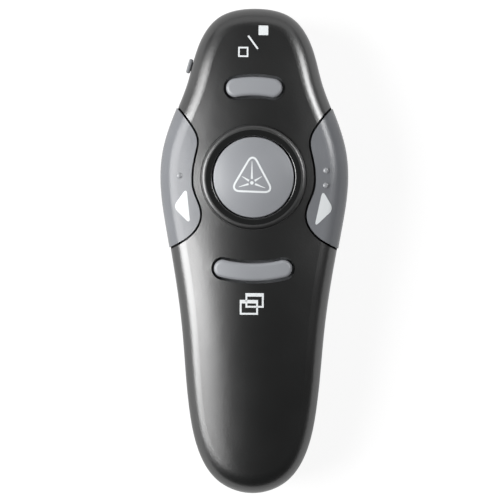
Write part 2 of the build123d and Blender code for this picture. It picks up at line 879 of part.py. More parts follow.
def make_leads():
    """Two short wires from the laser's driver board up to the main board."""
    leads = []
    z = laser_z + driver_thickness / 2 + lead_diameter / 2
    for x in (-1.4, 1.4):
        start_y = barrel_rear_y - driver_length + 2.4
        turn_y = barrel_rear_y - driver_length - 0.2
        path = FilletPolyline((x, start_y, z), (x, turn_y, z), (x, turn_y, board_z), radius=1.0)
        section = Plane(origin=path @ 0, z_dir=path % 0) * Circle(lead_diameter / 2)
        leads.append(sweep(section, path=path))
    return leads


def make_receiver():
    """Stowed USB receiver: grip, plug shell, contact tongue and four contacts."""
    left = -receiver_length / 2
    grip_right = left + receiver_grip_length
    half_height = receiver_height / 2
    grip = block(
        (left, grip_right),
        (receiver_y - receiver_width / 2, receiver_y + receiver_width / 2),
        (receiver_z - half_height, receiver_z + half_height),
    )
    grip = fillet(grip.edges().filter_by(Axis.Z) + grip.edges().filter_by(Axis.Y).sort_by(Axis.X)[:2], 0.9)
    right = receiver_length / 2
    half_usb = usb_width / 2
    shell = block(
        (grip_right, right),
        (receiver_y - half_usb, receiver_y + half_usb),
        (receiver_z - usb_height / 2, receiver_z + usb_height / 2),
    )
    shell -= block(
        (grip_right - 1, right + 1),
        (receiver_y - half_usb + usb_sheet, receiver_y + half_usb - usb_sheet),
        (receiver_z - usb_height / 2 + usb_sheet, receiver_z + usb_height / 2 - usb_sheet),
    )
    for y in (receiver_y - 2.9, receiver_y + 2.9):
        shell -= block((right - 6.6, right - 4.4), (y - 1.1, y + 1.1), (receiver_z - 5, receiver_z + 5))
    tongue_top = receiver_z - 0.1
    tongue = block(
        (grip_right, right - 0.6),
        (receiver_y - 5.2, receiver_y + 5.2),
        (receiver_z - usb_height / 2 + usb_sheet, tongue_top),
    )
    pad_levels = (tongue_top, tongue_top + 0.15)
    pad = block((right - 8.4, right - 1.4), (receiver_y - 0.5, receiver_y + 0.5), pad_levels)
    contacts = [Pos(0, y) * pad for y in (-3.5, -1.0, 1.0, 3.5)]
    return grip, shell, tongue, contacts


def make_power_slide():
    """Power knob with its cover plate, and the slide switch under the board that it moves."""
    slot_levels = (power_z - neck_height / 2, power_z + neck_height / 2)
    half = knob_length / 2
    nub_levels = (power_z - knob_height / 2, power_z + knob_height / 2)
    nub = power_block((-half, half), nub_levels, (-knob_proud, -knob_lift))
    nub = fillet(nub.edges(), knob_edge)
    line_levels = (power_z - knob_line_length / 2, power_z + knob_line_length / 2)
    for along in (-knob_line_pitch, 0.0, knob_line_pitch):
        line = (along - knob_line_width / 2, along + knob_line_width / 2)
        nub -= power_block(line, line_levels, (-knob_proud - 1, -knob_proud + knob_line_depth))
    neck = power_block((-neck_length / 2, neck_length / 2), slot_levels, (-knob_lift - 0.1, wall + 0.4))
    plate_half = (neck_length + 0.3 + 2 * power_travel) / 2 + 0.2
    plate_levels = (parting_z + 0.6, board_z + 0.2)
    plate_depth = (wall + 0.2, wall + 0.2 + knob_plate)
    plate = power_block((-plate_half, plate_half), plate_levels, plate_depth)
    lever_levels = (board_z - 1.15, board_z - 1.15 + lever_height)
    lever_half = lever_width / 2
    lever_tip = wall + 0.4
    plate -= power_block(
        (-lever_half - 0.05, lever_half + 0.05),
        (lever_levels[0] - 0.05, lever_levels[1] + 0.05),
        (lever_tip - 0.02, plate_depth[1] + 1),
    )
    lever = power_block((-lever_half, lever_half), lever_levels, (lever_tip, slide_body_inset + 0.8))

    middle = -power_travel / 2
    body_half = slide_body_length / 2
    body = power_block(
        (middle - body_half, middle + body_half),
        (board_z - slide_body_height, board_z),
        (slide_body_inset, slide_body_inset + slide_body_width),
    )
    slot = (-power_travel - lever_half - 0.15, lever_half + 0.15)
    slot_levels = (lever_levels[0] - 0.1, lever_levels[1] + 0.1)
    body -= power_block(slot, slot_levels, (slide_body_inset - 1, slide_body_inset + 1.2))
    return nub + neck + plate, lever, body


# ================================================================== build and write
def write(name, shape):
    """Write one sub-part, or one group of like solids, to its own file."""
    solids = shape if isinstance(shape, list) else [shape]
    bodies = [body for item in solids for body in item.solids()]
    export_step(bodies[0] if len(bodies) == 1 else Compound(children=bodies), f"parts/{name}.step")


def main():
    """Build every sub-part and write it."""
    os.makedirs("parts", exist_ok=True)
    write("upper_shell", make_upper_shell())
    write("lower_shell", make_lower_shell())
    write("battery_door", make_battery_door())
    write("case_screws", make_case_screws())
    window = rod(0, laser_z, window_diameter / 2, window_front_y - window_thickness, window_front_y)
    write("laser_window", window)

    write("laser_button", make_laser_button())
    write("blank_screen_button", make_bar_button(blank_area, blank_y, blank_seat_z))
    write("slideshow_button", make_bar_button(show_area, show_y, show_seat_z))
    key = make_side_key()
    dots = (15.6, laser_y + 1.55), (15.55, laser_y - 1.65)
    next_key = union([key, *(key_dot(x, y) for x, y in dots)])
    previous_key = mirror(key, about=Plane.YZ) + mirror(key_dot(16.0, laser_y + 0.25), about=Plane.YZ)
    write("next_key", next_key)
    write("previous_key", previous_key)

    bases, covers = [], []
    stems = ("laser", "blank_screen", "slideshow", "previous_key", "next_key")
    for name, (x, y) in zip(stems, (*button_switches, *side_switches)):
        base, cover, stem = make_switch(x, y)
        bases.append(base)
        covers.append(cover)
        write(f"{name}_switch_stem", stem)
    write("tact_switch_bases", bases)
    write("tact_switch_covers", covers)

    write("circuit_board", make_board())
    write("board_screws", make_board_screws())
    chip = block((-2.5, 2.5), (laser_y - 12.7, laser_y - 7.7), (board_top_z, board_top_z + 0.9))
    write("radio_chip", chip)
    crystal = block((5.0, 8.2), (laser_y - 11.5, laser_y - 9.0), (board_top_z, board_top_z + 0.7))
    write("crystal", fillet(crystal.edges().filter_by(Axis.Z), 0.4))
    write("board_passives", make_passives())
    write("antenna_trace", make_antenna())
    knob, lever, slide_body = make_power_slide()
    write("power_knob", knob)
    write("power_switch_lever", lever)
    write("power_switch_body", slide_body)

    write("laser_barrel", make_barrel())
    write("laser_lens", make_lens())
    driver = block(
        (-driver_width / 2, driver_width / 2),
        (barrel_rear_y - driver_length, barrel_rear_y),
        (laser_z - driver_thickness / 2, laser_z + driver_thickness / 2),
    )
    write("laser_driver_board", driver)
    write("laser_leads", make_leads())

    cells = [make_cell(x) for x in (-cell_x, cell_x)]
    write("battery_sleeves", [cell[0] for cell in cells])
    write("battery_terminals", [part for cell in cells for part in cell[1:]])
    write("contact_springs", [make_spring(x) for x in (-cell_x, cell_x)])
    write("positive_contact", contact_plate(-cell_x, 3.9))
    write("negative_contact", contact_plate(cell_x, 3.9))
    write("bridge_contact", make_bridge())

    grip, plug, tongue, contacts = make_receiver()
    write("receiver_grip", grip)
    write("receiver_plug_shell", plug)
    write("receiver_tongue", tongue)
    write("receiver_contacts", contacts)


main()
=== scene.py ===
"""Looks of a wireless presentation clicker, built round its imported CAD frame.

Every length is in metres, in the frame of the CAD model: +Y from the tail to the nose, +X to the
right and +Z up from the table. Sizes named *_mm are millimetres.
"""

import json
import logging
import math
from dataclasses import dataclass
from enum import Enum
from itertools import product
from typing import ClassVar

import bmesh
import bpy
from mathutils import Euler, Matrix, Vector
from mathutils.bvhtree import BVHTree

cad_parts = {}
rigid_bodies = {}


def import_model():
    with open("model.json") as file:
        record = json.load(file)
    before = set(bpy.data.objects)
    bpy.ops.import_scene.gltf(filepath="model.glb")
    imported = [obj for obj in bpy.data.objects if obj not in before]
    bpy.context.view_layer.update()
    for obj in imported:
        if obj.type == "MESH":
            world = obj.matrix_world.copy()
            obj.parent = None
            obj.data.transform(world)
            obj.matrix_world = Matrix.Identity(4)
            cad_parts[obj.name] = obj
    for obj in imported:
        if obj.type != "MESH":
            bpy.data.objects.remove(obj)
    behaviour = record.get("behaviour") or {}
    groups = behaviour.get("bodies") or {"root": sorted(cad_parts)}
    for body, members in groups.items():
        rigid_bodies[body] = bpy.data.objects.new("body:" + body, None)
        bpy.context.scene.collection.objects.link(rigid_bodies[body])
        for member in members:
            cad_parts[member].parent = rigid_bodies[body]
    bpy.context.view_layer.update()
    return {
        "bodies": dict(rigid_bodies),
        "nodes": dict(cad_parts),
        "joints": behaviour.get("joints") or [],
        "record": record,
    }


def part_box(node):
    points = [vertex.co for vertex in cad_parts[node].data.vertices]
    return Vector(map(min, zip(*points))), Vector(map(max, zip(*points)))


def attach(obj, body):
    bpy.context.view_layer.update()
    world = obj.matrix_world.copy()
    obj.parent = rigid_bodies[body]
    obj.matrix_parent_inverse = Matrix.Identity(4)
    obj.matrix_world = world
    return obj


log = logging.getLogger("clicker")

MM = 0.001
# Most values of a noise texture lie between the first two, and nearly all between the last two.
NOISE = (0.3, 0.7)
WIDE_NOISE = (0.2, 0.8)
# A wave texture of scale 1 repeats at this distance.
WAVE_PITCH = 0.314
# Watts per square metre of a lamp's face at a level of 1.
FACE_POWER = 4.0

Tree = bpy.types.NodeTree
Node = bpy.types.Node
Socket = bpy.types.NodeSocket
Shape = bmesh.types.BMesh
Face = bmesh.types.BMFace
Vertex = bmesh.types.BMVert
Colour = tuple[float, float, float, float]
Point = tuple[float, float]


def linear(code: str) -> Colour:
    """Turn an sRGB hex colour into the linear colour that a shader takes.

    Args:
        code: six hex digits with a leading #.

    Returns:
        Linear red, green and blue, with an alpha of 1.
    """
    parts = [int(code[i:i + 2], 16) / 255 for i in (1, 3, 5)]
    red, green, blue = (c / 12.92 if c <= 0.04045 else ((c + 0.055) / 1.055) ** 2.4 for c in parts)
    return (red, green, blue, 1.0)


def add_node(tree: Tree, kind: str, inputs: dict | None = None, **settings: object) -> Node:
    """Add a node with its settings, and fill or link its inputs.

    Args:
        tree: the node tree that gets the node.
        kind: the node's type name without the ShaderNode prefix.
        inputs: input name or number to a value, or to the output that feeds it. A node stands
            for its first output.
        **settings: attributes of the node itself.

    Returns:
        The new node.
    """
    node = tree.nodes.new("ShaderNode" + kind)
    for name, value in settings.items():
        setattr(node, name, value)
    for key, value in (inputs or {}).items():
        if isinstance(value, Node):
            value = value.outputs[0]
        if isinstance(value, Socket):
            tree.links.new(value, node.inputs[key])
        else:
            node.inputs[key].default_value = value
    return node


# ---------------------------------------------------------------- finishes
Inputs = dict[str, Node | Socket | float | tuple]
# Inputs of the bump node that makes a finish's relief.
RELIEF = ("Height", "Distance", "Strength")


class Texture(Enum):
    """How a mould leaves a plastic surface: grain width and relief in mm.

    Real spark-eroded grain is 0.05 to 0.1 mm wide. It is drawn coarser here, so that it shows.
    """

    SPARK_ERODED = (0.36, 0.018)
    ETCHED = (0.40, 0.018)
    SATIN = (0.30, 0.0016)
    POLISHED = (0.60, 0.0006)


@dataclass(frozen=True)
class Finish:
    """A surface finish, named for the real material.

    Attributes:
        name: the material's name.
        colour: its own colour, as sRGB hex.
        roughness: roughness of the shader.
        slot: the record's material slot that it belongs to; not used by the script.
    """

    name: str
    colour: str
    roughness: float
    slot: str

    def surface(self, tree: Tree) -> Inputs:
        """Draw the finish's own pattern.

        Args:
            tree: the node tree.

        Returns:
            What the shader gets, and height, distance and strength of the relief.
        """
        raise NotImplementedError

    def face(self, tree: Tree, shader: Node) -> Node:
        """What the material shows: the shader as it is."""
        return shader

    def coordinates(self, tree: Tree, stretch: tuple = (1.0, 1.0, 1.0)) -> Node:
        """Object coordinates, stretched along x, y and z."""
        place = add_node(tree, "TexCoord").outputs["Object"]
        return add_node(tree, "Mapping", {"Vector": place, "Scale": stretch})

    def material(self) -> bpy.types.Material:
        """Build the material once, and hand out the same one after that.

        Returns:
            The material.
        """
        found = bpy.data.materials.get(self.name)
        if found:
            return found
        made = bpy.data.materials.new(self.name)
        made.use_nodes = True
        made.diffuse_color = linear(self.colour)
        tree = made.node_tree
        tree.nodes.clear()
        inputs = {"Base Color": linear(self.colour), "Roughness": self.roughness}
        inputs |= self.surface(tree)
        relief = {key: inputs.pop(key) for key in RELIEF if key in inputs}
        inputs["Normal"] = add_node(tree, "Bump", relief)
        shader = add_node(tree, "BsdfPrincipled", inputs)
        add_node(tree, "OutputMaterial", {"Surface": self.face(tree, shader)})
        return made


@dataclass(frozen=True)
class MouldedPlastic(Finish):
    """Injection-moulded plastic: an even colour under the mould's grain, polished by hands.

    Attributes:
        texture: the mould's surface.
        ior: refractive index.
        polish: how far handling smooths or dulls the roughness.
        mottle: how far the colour drifts across the piece.
        gloss: strength of the surface's own reflection, 0.5 for a bare plastic.
        lacquer: weight of a clear lacquer on top.
        dust: how much the sparse specks of dust lighten the colour.
        dust_colour: the specks' own colour.
        patch_mm: size of the patches that handling and colour drift make.
        speck_pitch_mm: distance between specks.
        speck_mm: radius of a speck, without and with its soft edge.
    """

    texture: Texture = Texture.SATIN
    ior: float = 1.54
    polish: float = 0.012
    mottle: float = 0.05
    gloss: float = 0.5
    lacquer: float = 0.0
    dust: float = 0.0
    dust_colour: str = "#9a9c9e"
    patch_mm: float = 9.0
    speck_pitch_mm: float = 7.0
    speck_mm: Point = (0.126, 0.21)

    def surface(self, tree: Tree) -> Inputs:
        """Grain from fine noise, polish and colour drift from slow noise.

        Args:
            tree: the node tree.

        Returns:
            What the shader gets.
        """
        width_mm, relief_mm = self.texture.value
        place = self.coordinates(tree)
        grain = add_node(
            tree, "TexNoise", {"Vector": place, "Scale": 1 / (width_mm * MM), "Detail": 3.0}
        )
        slow = add_node(
            tree, "TexNoise", {"Vector": place, "Scale": 1 / (self.patch_mm * MM), "Detail": 1.0}
        )
        smooth, dull = self.roughness - self.polish, self.roughness + self.polish
        worn = add_node(
            tree, "MapRange",
            {"Value": slow, 1: WIDE_NOISE[0], 2: WIDE_NOISE[1], 3: smooth, 4: dull},
            interpolation_type="SMOOTHSTEP",
        )
        drift = add_node(
            tree, "MapRange",
            {"Value": slow, 1: NOISE[0], 2: NOISE[1], 3: 1 - self.mottle, 4: 1 + self.mottle},
        )
        tint = add_node(
            tree, "VectorMath", {0: linear(self.colour)[:3], 3: drift}, operation="SCALE"
        )
        pitch = self.speck_pitch_mm
        specks = add_node(tree, "TexVoronoi", {"Vector": place, "Scale": 1 / (pitch * MM)})
        core, rim = (radius / pitch for radius in self.speck_mm)
        dust = add_node(
            tree, "MapRange", {"Value": specks, 1: core, 2: rim, 3: self.dust, 4: 0.0}
        )
        dusty = add_node(
            tree, "Mix", {0: dust, 6: tint, 7: linear(self.dust_colour)}, data_type="RGBA"
        )
        return {
            "Base Color": dusty.outputs[2], "Roughness": worn, "IOR": self.ior,
            "Specular IOR Level": self.gloss, "Coat Weight": self.lacquer,
            "Coat Roughness": self.roughness, "Height": grain, "Distance": relief_mm * MM,
        }


@dataclass(frozen=True)
class RingedCase(MouldedPlastic):
    """Lacquered case plastic round a collar: its top is rubbed smooth, its slope stays matt.

    Attributes:
        collar_centre_mm: x and y of the collar's axis.
        slope: outer radius of the collar's slope in mm, and its roughness.
        top: the same of its top.
        blend_mm: half the width over which one roughness passes into the next.
    """

    collar_centre_mm: Point = (0.0, 16.0)
    slope: Point = (11.4, 0.42)
    top: Point = (10.3, 0.2)
    blend_mm: float = 0.1

    def surface(self, tree: Tree) -> Inputs:
        """The case's surface, with the collar's own roughness.

        Args:
            tree: the node tree.

        Returns:
            What the shader gets.
        """
        inputs = super().surface(tree)
        x, y = (value * MM for value in self.collar_centre_mm)
        flat = self.coordinates(tree, (1.0, 1.0, 0.0))
        away = add_node(tree, "VectorMath", {0: flat, 1: (x, y, 0)}, operation="DISTANCE")
        for radius, roughness in (self.slope, self.top):
            near, far = ((radius + way * self.blend_mm) * MM for way in (-1, 1))
            inside = add_node(
                tree, "MapRange", {"Value": away.outputs["Value"], 1: near, 2: far, 3: 1.0, 4: 0.0}
            )
            inputs["Roughness"] = add_node(
                tree, "Mix", {0: inside, 2: inputs["Roughness"], 3: roughness}, data_type="FLOAT"
            )
        return inputs


@dataclass(frozen=True)
class WorkedMetal(Finish):
    """Sheet, turned or plated metal with the fine lines that its working leaves.

    Attributes:
        grain: line width along x, y and z in mm; the long side runs along the lines.
        relief_mm: depth of the lines.
        shares: roughness of the brightest and the dullest lines, as shares of the finish's own.
    """

    grain: tuple[float, float, float] = (0.08, 1.6, 0.08)
    relief_mm: float = 0.0012
    shares: Point = (0.8, 1.25)

    def surface(self, tree: Tree) -> Inputs:
        """Stretched noise for the lines, in both relief and roughness.

        Args:
            tree: the node tree.

        Returns:
            What the shader gets.
        """
        place = self.coordinates(tree, tuple(1 / (mm * MM) for mm in self.grain))
        lines = add_node(tree, "TexNoise", {"Vector": place, "Scale": 1.0, "Detail": 2.0})
        bright, dull = (self.roughness * share for share in self.shares)
        spread = add_node(
            tree, "MapRange", {"Value": lines, 1: NOISE[0], 2: NOISE[1], 3: bright, 4: dull}
        )
        return {
            "Metallic": 1.0, "Roughness": spread, "Height": lines, "Distance": self.relief_mm * MM,
        }


@dataclass(frozen=True)
class BoardLaminate(Finish):
    """Glass-epoxy board under green solder mask: copper tracks show through as lighter green.

    Attributes:
        track_mm: distance between tracks.
        track_colour: the mask's colour over copper.
        track_edge: the part of a wave over which a track's edge rises.
        patch_mm: size of a patch of tracks of one direction.
        weave_mm: pitch of the glass cloth.
        relief_mm: height of tracks and weave.
        strength: how much of that relief the mask leaves.
    """

    track_mm: float = 0.9
    track_colour: str = "#2f8a54"
    track_edge: Point = (0.55, 0.7)
    patch_mm: float = 6.0
    weave_mm: float = 0.3
    relief_mm: float = 0.02
    strength: float = 0.6

    def tracks(self, tree: Tree, place: Node, direction: str) -> Node:
        """Straight parallel tracks.

        Args:
            tree: the node tree.
            place: the coordinates.
            direction: the axis across the tracks, X or Y.

        Returns:
            1 on a track and 0 beside it.
        """
        waves = add_node(
            tree, "TexWave", {"Vector": place, "Scale": WAVE_PITCH / (self.track_mm * MM)},
            wave_type="BANDS", bands_direction=direction,
        )
        low, high = self.track_edge
        return add_node(tree, "MapRange", {"Value": waves.outputs[1], 1: low, 2: high})

    def surface(self, tree: Tree) -> Inputs:
        """Patches of tracks that run along and across, over the weave of the glass cloth.

        Args:
            tree: the node tree.

        Returns:
            What the shader gets.
        """
        place = self.coordinates(tree)
        patches = add_node(
            tree, "TexVoronoi", {"Vector": place, "Scale": 1 / (self.patch_mm * MM)},
            distance="CHEBYCHEV",
        )
        choice = add_node(tree, "SeparateColor", {0: patches.outputs["Color"]})
        across = add_node(tree, "Math", {0: choice, 1: 0.5}, operation="GREATER_THAN")
        routes = [self.tracks(tree, place, direction) for direction in "XY"]
        routed = add_node(tree, "Mix", {0: across, 2: routes[0], 3: routes[1]})
        mask = add_node(
            tree, "Mix", {0: routed, 6: linear(self.colour), 7: linear(self.track_colour)},
            data_type="RGBA",
        )
        weave = add_node(
            tree, "TexNoise", {"Vector": place, "Scale": 1 / (self.weave_mm * MM), "Detail": 1.0}
        )
        height = add_node(tree, "Math", {0: routed, 1: weave}, operation="ADD")
        return {
            "Base Color": mask.outputs[2], "Height": height, "Distance": self.relief_mm * MM,
            "Strength": self.strength,
        }


@dataclass(frozen=True)
class ClearMoulding(Finish):
    """Clear acrylic or glass, moulded smooth, with the faintest flow ripple.

    Attributes:
        ior: refractive index.
        ripple_mm: length of the ripple.
        relief_mm: its height.
    """

    ior: float = 1.49
    ripple_mm: float = 1.5
    relief_mm: float = 0.002

    def surface(self, tree: Tree) -> Inputs:
        """Clear body with a slow, shallow ripple.

        Args:
            tree: the node tree.

        Returns:
            What the shader gets.
        """
        place = self.coordinates(tree)
        ripple = add_node(tree, "TexNoise", {"Vector": place, "Scale": 1 / (self.ripple_mm * MM)})
        return {
            "Transmission Weight": 1.0, "IOR": self.ior, "Height": ripple,
            "Distance": self.relief_mm * MM,
        }


@dataclass(frozen=True)
class PadPrint(Finish):
    """Pad-printed ink: matt, a little thin where the pad lifted, over the grain of what it is on.

    Attributes:
        full_colour: colour where the film is thickest.
        patch_mm: size of its patches.
        relief_mm: how far its thickness varies.
    """

    full_colour: str = "#e1e4e6"
    patch_mm: float = 0.25
    relief_mm: float = 0.003

    def surface(self, tree: Tree) -> Inputs:
        """Fine patchiness of the ink film.

        Args:
            tree: the node tree.

        Returns:
            What the shader gets.
        """
        place = self.coordinates(tree)
        film = add_node(tree, "TexNoise", {"Vector": place, "Scale": 1 / (self.patch_mm * MM)})
        ink = add_node(
            tree, "Mix", {0: film, 6: linear(self.colour), 7: linear(self.full_colour)},
            data_type="RGBA",
        )
        return {"Base Color": ink.outputs[2], "Height": film, "Distance": self.relief_mm * MM}


@dataclass(frozen=True)
class PrintedSleeve(Finish):
    """Shrink sleeve of a battery cell: dark printed film with a pale band towards the positive end.

    The left cell points to the nose and the right one to the tail.

    Attributes:
        band_colour: the band's colour.
        middle_mm: y of the cells' middle.
        band: start and end of the band from there towards the positive end, in mm.
        ripple_mm: length of the ripples that shrinking leaves.
        relief_mm: their height.
        lacquer: weight of the clear coat over the print.
    """

    band_colour: str = "#b9bec4"
    middle_mm: float = -15.75
    band: Point = (9.0, 14.5)
    ripple_mm: float = 2.5
    relief_mm: float = 0.02
    lacquer: float = 0.4

    def surface(self, tree: Tree) -> Inputs:
        """Band from the distance along the cell, ripple of the shrunk film as relief.

        Args:
            tree: the node tree.

        Returns:
            What the shader gets.
        """
        place = add_node(tree, "TexCoord").outputs["Object"]
        across, y, _ = add_node(tree, "SeparateXYZ", {0: place}).outputs
        offset = add_node(tree, "Math", {0: y, 1: self.middle_mm * MM}, operation="SUBTRACT")
        way = add_node(tree, "Math", {0: across}, operation="SIGN")
        along = add_node(tree, "Math", {0: offset, 1: way}, operation="MULTIPLY")
        low, high = (edge * MM for edge in self.band)
        middle, reach = -(low + high) / 2, (high - low) / 2
        inside = add_node(tree, "Math", {0: along, 1: middle, 2: reach}, operation="COMPARE")
        colour = add_node(
            tree, "Mix", {0: inside, 6: linear(self.colour), 7: linear(self.band_colour)},
            data_type="RGBA",
        )
        film = add_node(tree, "TexNoise", {"Vector": place, "Scale": 1 / (self.ripple_mm * MM)})
        return {
            "Base Color": colour.outputs[2], "Coat Weight": self.lacquer, "Height": film,
            "Distance": self.relief_mm * MM,
        }


@dataclass(frozen=True)
class PaperSweep(Finish):
    """Studio paper: white to the camera and through clear pieces, dimmer in reflections.

    Attributes:
        glow: light that only the camera, reflections and clear pieces see.
        mirrored: the share of it that reflections see.
        fibre_mm: size of the paper's fibres.
        relief_mm: their height.
        strength: how much of that relief shows.
    """

    glow: float = 0.87
    mirrored: float = 0.45
    fibre_mm: float = 0.6
    relief_mm: float = 0.02
    strength: float = 0.3

    def surface(self, tree: Tree) -> Inputs:
        """Paper fibre as relief, and the glow, which lights no other surface.

        Args:
            tree: the node tree.

        Returns:
            What the shader gets.
        """
        path = add_node(tree, "LightPath").outputs
        clear = add_node(
            tree, "Math", {0: path["Is Camera Ray"], 1: path["Is Transmission Ray"]},
            operation="MAXIMUM",
        )
        mirror = add_node(
            tree, "Math", {0: path["Is Glossy Ray"], 1: self.mirrored}, operation="MULTIPLY"
        )
        seen = add_node(tree, "Math", {0: clear, 1: mirror}, operation="MAXIMUM")
        lift = add_node(tree, "Math", {0: seen, 1: self.glow}, operation="MULTIPLY")
        place = self.coordinates(tree)
        fibre = add_node(tree, "TexNoise", {"Vector": place, "Scale": 1 / (self.fibre_mm * MM)})
        return {
            "Emission Color": (1, 1, 1, 1), "Emission Strength": lift, "Height": fibre,
            "Distance": self.relief_mm * MM, "Strength": self.strength,
        }

    def face(self, tree: Tree, shader: Node) -> Node:
        """Leave the paper out from below, so that the belly shows and the card under it lights it.

        Args:
            tree: the node tree.
            shader: the principled shader.

        Returns:
            What the material shows.
        """
        under = add_node(tree, "NewGeometry").outputs["Backfacing"]
        shade = add_node(tree, "LightPath").outputs["Is Shadow Ray"]
        absent = add_node(tree, "Math", {0: under, 1: shade}, operation="MAXIMUM")
        clear = add_node(tree, "BsdfTransparent")
        return add_node(tree, "MixShader", {0: absent, 1: shader, 2: clear})


# Black ABS from a spark-eroded mould under satin lacquer: deep black, one broad bright highlight,
# grain that shows where the highlight fades, and a few specks of dust. The lacquer mirrors more
# than bare ABS does, so the index is above that of ABS.
BLACK_ABS = RingedCase(
    "black_abs_satin_lacquer", "#101111", 0.3, "black_abs", Texture.SPARK_ERODED,
    ior=1.7, gloss=0.95, lacquer=0.35, dust=0.5,
)
# Black ABS of the door and the receiver, as it comes from the mould: duller than the lacquer.
BARE_BLACK_ABS = MouldedPlastic(
    "black_abs_bare", "#151516", 0.42, "black_abs", Texture.SPARK_ERODED
)
# Grey ABS caps from a satin mould: smoother, the highlight is wide and milky.
GREY_ABS = MouldedPlastic("grey_abs_satin", "#8f9195", 0.36, "grey_abs", Texture.SATIN, gloss=0.65)
# Grey ABS keys from an etched mould: the grain takes most of the gloss.
KEY_ABS = MouldedPlastic("grey_abs_etched", "#797b7f", 0.26, "grey_abs", Texture.ETCHED, gloss=0.44)
# Grey ABS polished in the mould, for the small domes on the keys: a sharp glint on each.
POLISHED_ABS = MouldedPlastic(
    "grey_abs_polished", "#9b9da0", 0.14, "grey_abs", Texture.POLISHED, gloss=0.7
)
# Grey ABS of the power slide: matt.
SLIDE_ABS = MouldedPlastic("grey_abs_matt", "#7f8184", 0.46, "dark_grey_abs", Texture.SATIN)
# Black nylon of the switch bases: dull and waxy.
NYLON = MouldedPlastic("black_nylon_moulded", "#222225", 0.5, "black_nylon", Texture.SATIN)
# Natural acetal of the switch stems: milky and slippery.
ACETAL = MouldedPlastic("natural_acetal", "#cfcdc6", 0.35, "stem_plastic", Texture.POLISHED, 1.48)
# White liquid-crystal polymer of the plug's tongue: chalky.
POLYMER = MouldedPlastic("white_lcp_moulded", "#e6e5df", 0.45, "tongue_plastic", Texture.SATIN)
# Moulding compound of the chip: nearly black, sanded-looking.
COMPOUND = MouldedPlastic(
    "epoxy_moulding_compound", "#26262a", 0.6, "chip_epoxy", Texture.SPARK_ERODED
)
# Ceramic chip parts: biscuit brown, fired matt.
CERAMIC = MouldedPlastic("fired_ceramic", "#9c8565", 0.5, "ceramic_part", Texture.SATIN, 1.6)
# PVC skin of the laser's leads: soft gloss.
LEAD_SKIN = MouldedPlastic("pvc_wire_skin", "#b5332f", 0.35, "lead_pvc", Texture.POLISHED)
# White ink of the legends: matt and nearly pure.
INK = PadPrint("white_pad_print_ink", "#dde1e2", 0.5, "grey_abs")
# White ink of the plus signs on the cells: smoother than that of the legends.
SLEEVE_INK = PadPrint("white_sleeve_ink", "#d6d9da", 0.4, "cell_sleeve")
# Stainless sheet, drawn and blanked: fine rolling lines.
SHEET = WorkedMetal("stainless_sheet_rolled", "#b9bbbd", 0.3, "switch_steel")
# Stainless sheet of the plug, folded: brighter, with its lines along z.
PLUG_SHEET = WorkedMetal("stainless_plug_sheet", "#bfc1c3", 0.24, "plug_steel", (0.06, 0.06, 1.4))
# Nickel-plated spring steel: bright, with faint drawing lines.
NICKEL = WorkedMetal(
    "nickel_plated_spring_steel", "#c9c8c3", 0.18, "spring_steel", (0.08, 0.08, 1.2)
)
# Zinc-plated and blackened screws: turned lines round the head.
ZINC = WorkedMetal("zinc_plated_screw_steel", "#aeb3b8", 0.32, "zinc_screw", (0.1, 0.1, 0.1))
BLACKENED = WorkedMetal("blackened_screw_steel", "#303134", 0.4, "black_screw", (0.1, 0.1, 0.1))
# Turned brass of the laser barrel: rings from the lathe across its length.
BRASS = WorkedMetal("turned_brass", "#c9a25a", 0.28, "laser_brass", (2.0, 0.07, 2.0))
# Gold-plated copper of the contacts and the antenna.
GOLD = WorkedMetal("gold_plated_copper", "#d3a250", 0.3, "copper_track", (0.1, 0.8, 0.1))
# Tin solder: bright where it froze slowly, with faint ripples.
SOLDER = WorkedMetal("tin_solder_reflowed", "#c2c4c6", 0.22, "switch_steel", (0.3, 0.3, 0.3))
# Glass-epoxy laminate under green solder mask: glossy, with tracks that show through.
LAMINATE = BoardLaminate("green_solder_mask", "#13562f", 0.35, "solder_mask")
# Clear acrylic of the laser window: glossy, nearly invisible but for its glints.
ACRYLIC = ClearMoulding("clear_acrylic", "#f4f7fa", 0.05, "clear_acrylic")
# Moulded glass of the lens: clearer and sharper than the acrylic.
LENS = ClearMoulding("moulded_lens_glass", "#f0f5fa", 0.03, "lens_glass", 1.52)
# Printed film shrunk over the cells: dark blue, glossy, with a pale band.
SLEEVE = PrintedSleeve("printed_cell_sleeve", "#1c2433", 0.3, "cell_sleeve")
# White studio paper: matt. Its own colour is a grey, because the glow makes up its white, and what
# the shadow takes away is only a part.
PAPER = PaperSweep("white_studio_paper", "#777777", 0.9, "")


# ---------------------------------------------------------------- sub-assemblies
class Side(Enum):
    """The side of a piece that gets a print, as the sign of its outward z."""

    TOP = 1
    BELLY = -1


